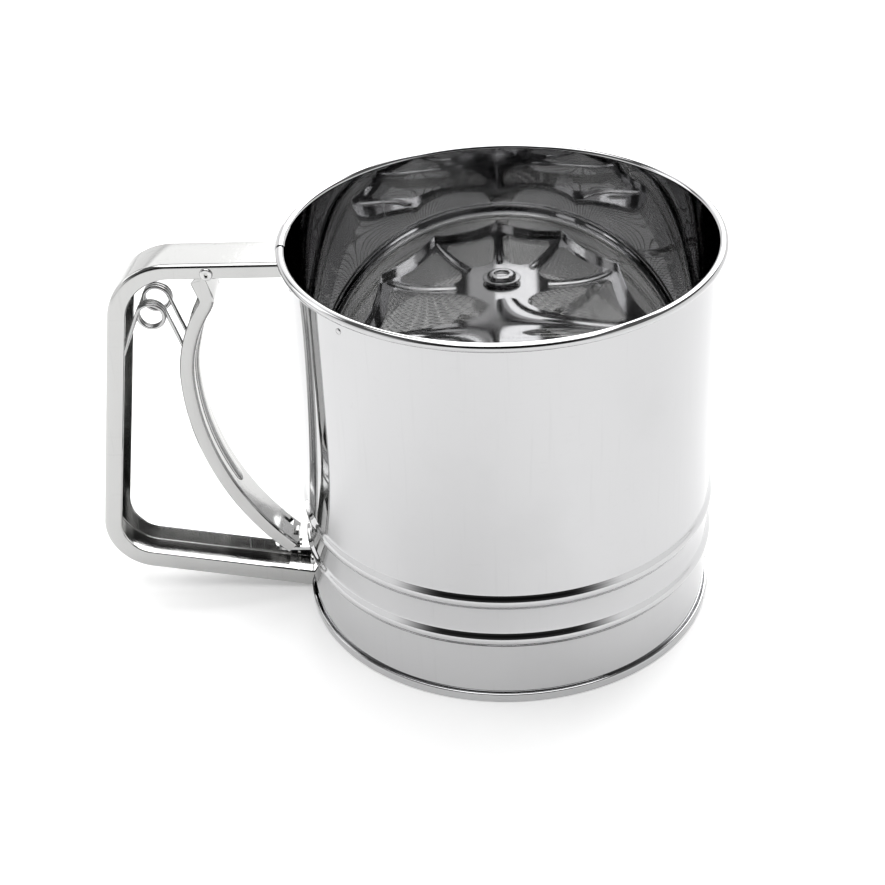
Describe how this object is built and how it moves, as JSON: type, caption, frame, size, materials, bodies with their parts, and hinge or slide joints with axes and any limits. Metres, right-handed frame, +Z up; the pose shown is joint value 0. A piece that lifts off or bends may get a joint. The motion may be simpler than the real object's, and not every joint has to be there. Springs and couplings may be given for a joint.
{
  "type": "flour sifter",
  "caption": "Hand flour sifter: open steel cup with a woven screen, a channel handle and a squeeze trigger that swings a spoked wheel over the screen.",
  "frame": {"origin": "centre of the cup's base, on the cup's axis, in the plane it stands on", "axes": "+Z up along the cup's axis, -X towards the handle, +Y to the side"},
  "size_m": [0.1693, 0.114, 0.1075],
  "materials": {
    "polished_steel": "mirror-polished stainless sheet",
    "pressed_steel": "bright pressed stainless strip",
    "fastener_steel": "turned and tumbled steel",
    "spring_wire": "drawn spring wire",
    "woven_mesh": "plain-woven stainless wire"
  },
  "bodies": {
    "cup": {"cup_body": "polished_steel", "rim_seam_lap": "polished_steel", "rim_wire": "spring_wire", "handle_channel": "polished_steel", "low_bracket": "pressed_steel", "trigger_pivot": "fastener_steel", "slot_plate": "pressed_steel", "slot_plate_rivets": "fastener_steel", "screen_hoop_lower": "polished_steel", "mesh_screen": "woven_mesh", "screen_hoop_upper": "polished_steel", "screen_washer": "fastener_steel", "hub_bushing": "fastener_steel", "bushing_ring": "fastener_steel", "cross_bar": "pressed_steel", "return_spring": "spring_wire"},
    "trigger": {"trigger": "polished_steel"},
    "link": {"drive_link": "pressed_steel"},
    "agitator": {"agitator_wheel": "pressed_steel", "hub_collar": "pressed_steel", "hub_washer": "fastener_steel", "shaft_rivet": "fastener_steel", "thrust_washer": "fastener_steel", "crank_arm": "pressed_steel", "crank_pin": "fastener_steel", "crank_clip": "fastener_steel"}
  },
  "joints": [
    {"name": "trigger_squeeze", "type": "hinge", "parent": "cup", "child": "trigger", "pos_m": [-0.0748, 0, 0.1004], "axis": [0, 1, 0], "range_deg": [0, 12], "stiffness_Nm_per_rad": 0.9, "springref_deg": -20.05, "deforming": ["return_spring"]},
    {"name": "link_slide", "type": "slide", "parent": "cup", "child": "link", "axis": [-1, 0, 0], "range_m": [0, 0.01873]},
    {"name": "agitator_turn", "type": "hinge", "parent": "cup", "child": "agitator", "pos_m": [0, 0, 0.014], "axis": [0, 0, 1], "range_deg": [0, 59.03]}
  ],
  "couplings": [
    {"joint": "link_slide", "follows": "trigger_squeeze", "m_per_rad": 0.08937},
    {"joint": "agitator_turn", "follows": "trigger_squeeze", "ratio": 4.9189}
  ]
}
